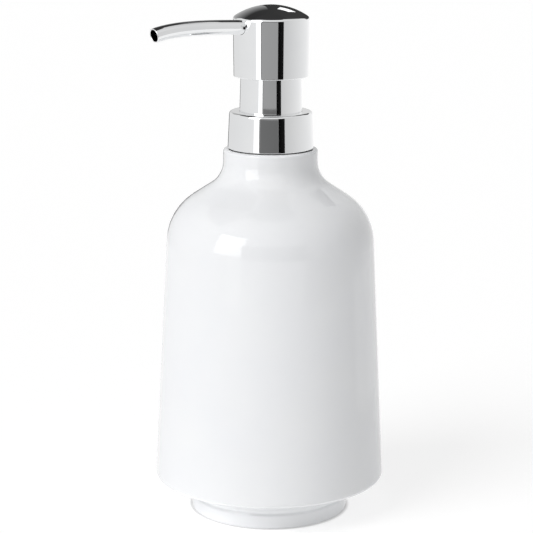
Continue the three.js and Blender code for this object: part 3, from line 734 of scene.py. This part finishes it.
def head_shell():
    """Domed cap. Rings are close together at the spout, so that its hole is cut in small faces."""
    apex, bottom = top("head_shell"), low("head_shell")
    centre_z = apex - DOME_RADIUS
    edge_z = centre_z + math.sqrt(DOME_RADIUS**2 - HEAD_RADIUS**2)
    inner, inner_r = DOME_RADIUS - HEAD_WALL, HEAD_RADIUS - HEAD_WALL
    inner_edge = centre_z + math.sqrt(inner**2 - inner_r**2)
    near_spout = []
    for k in range(26):
        drop = 0.7 + 0.25 * k
        share = drop / (edge_z - bottom)
        near_spout.append((HEAD_RADIUS + (HEAD_BOTTOM_RADIUS - HEAD_RADIUS) * share, edge_z - drop))
    body = turned("head_shell", [
        *arc(centre_z, DOME_RADIUS, 0, HEAD_RADIUS - 0.7, 40), (HEAD_RADIUS, edge_z, HEAD_EDGE),
        *near_spout, (HEAD_BOTTOM_RADIUS, bottom, 0.3), (HEAD_BOTTOM_RADIUS - HEAD_WALL, bottom, 0.3),
        (inner_r, inner_edge, 0.3), *reversed(arc(centre_z, inner, 0, inner_r, 16)),
    ], FINE)
    hole = rod(SPOUT_ROOT, spout_way(), SPOUT_RADIUS + 0.05, 14, 64)
    return boolean(body, hole, "DIFFERENCE")


def spout_tube():
    """Thin bent tube on a cubic curve, its tip cut square with a rounded lip."""
    tip_way = Vector((0, -math.cos(SPOUT_DROOP), -math.sin(SPOUT_DROOP)))
    lead_out, lead_in = spout_way() * SPOUT_LEAD[0], tip_way * SPOUT_LEAD[1]
    ends = (SPOUT_ROOT, SPOUT_ROOT + lead_out, SPOUT_TIP - lead_in, SPOUT_TIP)

    def centre(t):
        weights = ((1 - t) ** 3, 3 * t * (1 - t) ** 2, 3 * t * t * (1 - t), t**3)
        return sum((p * w for p, w in zip(ends, weights)), Vector())

    def place(p, angle):
        t = p.y
        along = (centre(t + 1e-4) - centre(t - 1e-4)).normalized()
        side = Vector((1, 0, 0))
        up = side.cross(along)
        return (centre(t) + side * (p.x * math.cos(angle)) + up * (p.x * math.sin(angle))) * MM

    steps = 120
    lip = (SPOUT_RADIUS - SPOUT_BORE) / 2
    per_mm = 1 / 46  # of the curve's parameter, near the tip
    outer = [Vector((SPOUT_RADIUS, k / steps)) for k in range(steps)]
    inner = [Vector((SPOUT_BORE, 1 - k / steps)) for k in range(1, steps + 1)]
    end = [
        Vector((SPOUT_RADIUS - lip + lip * math.cos(a), 1 - lip * per_mm + lip * per_mm * math.sin(a)))
        for a in (math.pi * k / 10 for k in range(11))
    ]
    return new_object("spout_tube", spun(outer + end + inner[1:], 96, place), 50)


# ---- assembly ----

MATERIALS = {
    "white_gloss": white_gloss(),
    "chrome_trim": chrome(),
    "white_plastic": white_plastic(),
    "natural_plastic": natural_plastic(),
    "spring_steel": steel(),
    "pad_rubber": rubber(),
}
SLOTS = {s["node"]: s["material_slot"] for s in frame["record"]["subparts"]}
BODY_OF = {n: body for body, nodes in frame["record"]["behaviour"]["bodies"].items() for n in nodes}
MAKERS = [
    base_pad, base_plug, base_seal, bottle_shell, neck_insert, neck_gasket, screw_cap, collar_shell,
    guide_sleeve, pump_housing, chaplet, dip_tube, ball_cage, return_spring, inlet_ball, piston, plunger,
    stem, head_core, head_shell, spout_tube,
]
for make in MAKERS:
    node = make.__name__
    piece = make()
    piece.name = node + "_detail"
    piece.data.materials.clear()
    piece.data.materials.append(MATERIALS[SLOTS[node]])
    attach(piece, BODY_OF[node])
    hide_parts(node)
    if node == "return_spring":
        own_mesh(piece)

# ---- studio, in metres ----

FLOOR_SIZE, FLOOR_GLOW, FLOOR_PAINTED_LIGHT = 60, 0.73, 1.23  # half its side; its even glow, and that of the painted pool of light beside the foot
# painted light: where the brighter patch of floor glow beside the foot lies, and how far it reaches
PAINTED_LIGHT_AZIMUTH, PAINTED_LIGHT_DISTANCE, PAINTED_LIGHT_REACH = -42, 0.036, 0.034
# painted contact shadow: the floor's glow dimmed in a thin ring at the foot's edge
PAINTED_SHADOW_REACH, PAINTED_SHADOW_SPAN, PAINTED_SHADOW_DIM = 0.0298, (0, 0.045), 0.5
BACKDROP_DISTANCE = 6

scene.view_settings.view_transform = "Standard"


def glow_material():
    """Emission with the strength that each point of the mesh holds."""
    material = bpy.data.materials.new("glow")
    material.use_nodes = True
    nodes, links = material.node_tree.nodes, material.node_tree.links
    nodes.clear()
    emission = nodes.new("ShaderNodeEmission")
    strength = nodes.new("ShaderNodeAttribute")
    strength.attribute_name = "strength"
    output = nodes.new("ShaderNodeOutputMaterial")
    links.new(strength.outputs["Fac"], emission.inputs["Strength"])
    links.new(emission.outputs["Emission"], output.inputs["Surface"])
    return material


GLOW = glow_material()


def seen(azimuth, elevation, distance, centre):
    """A point round the object, by degrees to the right of the camera and above the level."""
    a, e = CAMERA_AZIMUTH + math.radians(azimuth), math.radians(elevation)
    way = Vector((math.sin(a) * math.cos(e), -math.cos(a) * math.cos(e), math.sin(e)))
    return centre + way * distance


def card(name, azimuths, elevations, strengths, distance=0.6, height=0.15, upward=False, backdrop=False):
    """A curved sheet that spans these degrees, round a point of the axis at this height.
    It is seen only in reflections, or only directly as a backdrop.
    Its glow goes evenly from the first strength to the second, along it or upward."""
    steps = 24
    bm = bmesh.new()
    layer = bm.verts.layers.float.new("strength")
    shares = [k / steps for k in range(steps + 1)]
    centre = Vector((0, 0, height))

    def between(ends, share):
        return ends[0] + (ends[1] - ends[0]) * share

    def point(along, up):
        vert = bm.verts.new(seen(between(azimuths, along), between(elevations, up), distance, centre))
        vert[layer] = between(strengths, up if upward else along)
        return vert

    rows = [[point(along, up) for up in shares] for along in shares]
    for a, b in zip(rows, rows[1:]):
        for k in range(steps):
            bm.faces.new((a[k], b[k], b[k + 1], a[k + 1]))
    obj = new_object(name, bm)
    obj.data.materials.append(GLOW)
    obj.visible_camera = backdrop
    obj.visible_glossy = not backdrop
    obj.visible_diffuse = False
    obj.visible_shadow = False
    obj.visible_transmission = False


def sky_light(name, azimuth, elevation, softness, strength):
    """Even light from far away, softness degrees across."""
    light = bpy.data.lights.new(name, "SUN")
    light.angle = math.radians(softness)
    light.energy = strength
    obj = bpy.data.objects.new(name, light)
    obj.rotation_mode = "QUATERNION"
    obj.rotation_quaternion = seen(azimuth, elevation, 1, Vector()).to_track_quat("Z", "Y")
    obj.visible_glossy = False
    scene.collection.objects.link(obj)


def floor():
    """A pale floor that glows evenly, with a painted pool of light beside the foot's lit side and a painted
    contact shadow at the foot's edge.
    """
    bm = bmesh.new()
    bmesh.ops.create_grid(bm, x_segments=1, y_segments=1, size=FLOOR_SIZE)
    obj = new_object("floor", bm)
    surface = Surface("floor", (0.33, 0.33, 0.33), 0.9, Specular_IOR_Level=0, Emission_Color=(1, 1, 1, 1))
    # painted light: the floor glows brighter in a patch beside the foot's key-lit side
    painted_light_spot = seen(PAINTED_LIGHT_AZIMUTH, 0, PAINTED_LIGHT_DISTANCE, Vector())
    glow = surface.patch(painted_light_spot, PAINTED_LIGHT_REACH, FLOOR_GLOW, FLOOR_PAINTED_LIGHT)
    # painted shadow: the glow is dimmed round the foot's edge, as a contact shadow
    painted_contact_shadow = surface.patch(Vector(), PAINTED_SHADOW_REACH, 1, PAINTED_SHADOW_DIM, PAINTED_SHADOW_SPAN)
    surface.product(glow, painted_contact_shadow, "Emission Strength")
    obj.data.materials.append(surface.material)


floor()
world = bpy.data.worlds.new("studio")
scene.world = world
world.use_nodes = True
background = world.node_tree.nodes["Background"]
background.inputs["Color"].default_value = (1, 1, 1, 1)
background.inputs["Strength"].default_value = 0.13
sky_light("key", -47, 40, 34, 1.84)
sky_light("overhead", 0, 86, 80, 0.95)

card("backdrop", (-180, 180), (-5, 90), (1.1, 1.1), BACKDROP_DISTANCE, backdrop=True)
card("hood", (-180, 180), (-8, 90), (0.04, 0.04), 0.75)
card("wall_left", (-160, -46), (-30, 40), (0.8, 0.9))
card("wall_right", (37, 150), (-30, 40), (0.64, 0.98))
card("wall_back", (150, 200), (-3, 34), (0.9, 0.6))
card("wall_low_back", (150, 178), (-30, -3), (1, 1))
card("black_back", (178, 202), (-40, -3), (0.01, 0.02))
card("white_strip", (-46, -31), (-30, 0), (1.4, 1.4))
card("grey_front", (-29, 20), (-9, 14), (0.37, 0.35), 0.2, 0.12)
card("black_stripe", (20, 37), (-9, 14), (0.002, 0.01), 0.2, 0.12)
card("sky", (-75, 165), (12, 56), (1, 0.65), 0.62)
card("sky_top", (-75, 138), (56, 72), (1, 0.65), 0.62)
card("softbox", (-62, -28), (-2.3, 31), (3.2, 4), 0.55, upward=True)
card("low_right", (94, 150), (-8, 9), (1.35, 0.9), 0.2, 0.03)
card("collar_shade", (-27, 19), (-9, 9), (0.17, 0.15), 0.12, 0.12)
card("dome_shade", (125, 235), (2, 62), (0.05, 0.03), 0.1, 0.18)
card("dome_glow", (184, 235), (0, 45), (0.55, 0.04), 0.096, 0.18, upward=True)
card("dome_patch", (159, 173), (27, 40), (1.5, 1.2), 0.094, 0.18)

# ---- camera ----

FOCAL_LENGTH, SENSOR = 2000 / 533, 36  # in frame widths; in millimetres
LENS = SENSOR * FOCAL_LENGTH
CAMERA_PITCH, CAMERA_ROLL = math.radians(12.8), math.radians(0.25)
CAMERA_DISTANCE, AIM_HEIGHT, AIM_LEFT = 0.7222, 0.0898, 0.0013

camera = bpy.data.cameras.new("camera")
camera.sensor_width = SENSOR
camera.lens = LENS
camera_object = bpy.data.objects.new("camera", camera)
right = Vector((math.cos(CAMERA_AZIMUTH), math.sin(CAMERA_AZIMUTH), 0))
back = Vector((
    math.sin(CAMERA_AZIMUTH) * math.cos(CAMERA_PITCH),
    -math.cos(CAMERA_AZIMUTH) * math.cos(CAMERA_PITCH),
    math.sin(CAMERA_PITCH),
))
camera_object.location = Vector((0, 0, AIM_HEIGHT)) - right * AIM_LEFT + back * CAMERA_DISTANCE
camera_object.rotation_mode = "QUATERNION"
camera_object.rotation_quaternion = back.to_track_quat("Z", "Y") @ Quaternion((0, 0, 1), CAMERA_ROLL)
scene.collection.objects.link(camera_object)
scene.camera = camera_object
